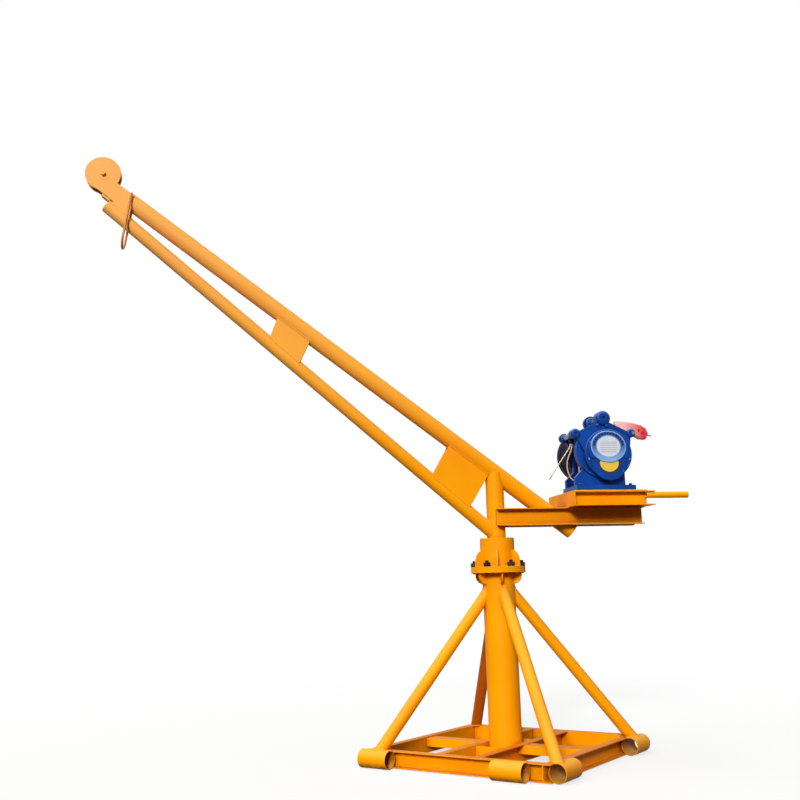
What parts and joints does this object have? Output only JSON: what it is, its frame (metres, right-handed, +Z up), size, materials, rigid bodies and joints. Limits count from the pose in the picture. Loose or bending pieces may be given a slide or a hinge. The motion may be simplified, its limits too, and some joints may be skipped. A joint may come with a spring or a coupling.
{
  "type": "slewing floor crane",
  "caption": "Slewing floor crane: square channel base with outrigger sleeves, braced column, two-chord boom with head sheave, and an electric winch on a rear counter platform.",
  "frame": {"origin": "on the ground under the column axis, at the centre of the base square", "axes": "+Z up, +X along the front frame channel towards the right, +Y across it towards the back; at rest the boom points along -X-Y, over the front left corner"},
  "size_m": [2.4048, 2.2719, 3.147],
  "materials": {
    "orange_paint": "orange-yellow enamel, semi-gloss, lightly worn",
    "blue_paint": "blue enamel on castings, semi-gloss",
    "black_paint": "dark blue-black enamel on the motor shell",
    "bronze": "bronze bushes, oiled",
    "red_plastic": "red moulded case of the push-button pendant",
    "wire_sheath": "pale tan PVC sheath of the motor leads",
    "steel": "turned steel, oiled"
  },
  "bodies": {
    "base": {"column_foot": "orange_paint", "column": "orange_paint", "column_flange": "orange_paint", "housing_flange": "orange_paint", "lower_gussets": "orange_paint", "upper_gussets": "orange_paint", "bearing_housing": "orange_paint", "post_bushes": "bronze", "thrust_disc": "bronze", "frame_front": "orange_paint", "frame_right": "orange_paint", "frame_back": "orange_paint", "frame_left": "orange_paint", "sleeves_front": "orange_paint", "sleeves_right": "orange_paint", "mid_beam_left": "orange_paint", "mid_beam_right": "orange_paint", "cross_beam_left": "orange_paint", "cross_beam_right": "orange_paint", "cross_plates": "orange_paint", "brace_front_left": "orange_paint", "brace_front_right": "orange_paint", "brace_back_right": "orange_paint", "brace_back_left": "orange_paint"},
    "upperworks": {"post": "orange_paint", "upper_chord": "orange_paint", "lower_chord": "orange_paint", "head_cheeks": "orange_paint", "mid_webs": "orange_paint", "root_webs": "orange_paint", "head_pin": "orange_paint", "head_spacer": "orange_paint", "rope_bail": "orange_paint", "platform_beam_back": "orange_paint", "platform_beam_front": "orange_paint", "platform_rails": "orange_paint", "platform_ends": "orange_paint", "platform_deck": "orange_paint", "push_handle": "orange_paint", "winch_base": "blue_paint", "winch_case": "blue_paint", "winch_end_plate": "blue_paint", "winch_motor": "black_paint", "winch_shaft": "steel", "winch_ties": "steel", "pendant": "red_plastic", "pendant_pin": "steel", "lead_fittings": "black_paint", "lead_wire": "wire_sheath", "lead_tip": "steel", "loop_wire": "wire_sheath"},
    "sheave": {"sheave": "steel"},
    "drum": {"winch_drum": "blue_paint"}
  },
  "joints": [
    {"name": "slew", "type": "hinge", "parent": "base", "child": "upperworks", "pos_m": [0, 0, 1], "axis": [0, 0, 1], "continuous": true},
    {"name": "sheave_spin", "type": "hinge", "parent": "upperworks", "child": "sheave", "pos_m": [-1.4623, -1.4623, 3.055], "axis": [0.7071, -0.7071, 0], "continuous": true},
    {"name": "drum_spin", "type": "hinge", "parent": "upperworks", "child": "drum", "pos_m": [0.41861, 0.41861, 1.54], "axis": [0.7071, -0.7071, 0], "continuous": true}
  ]
}
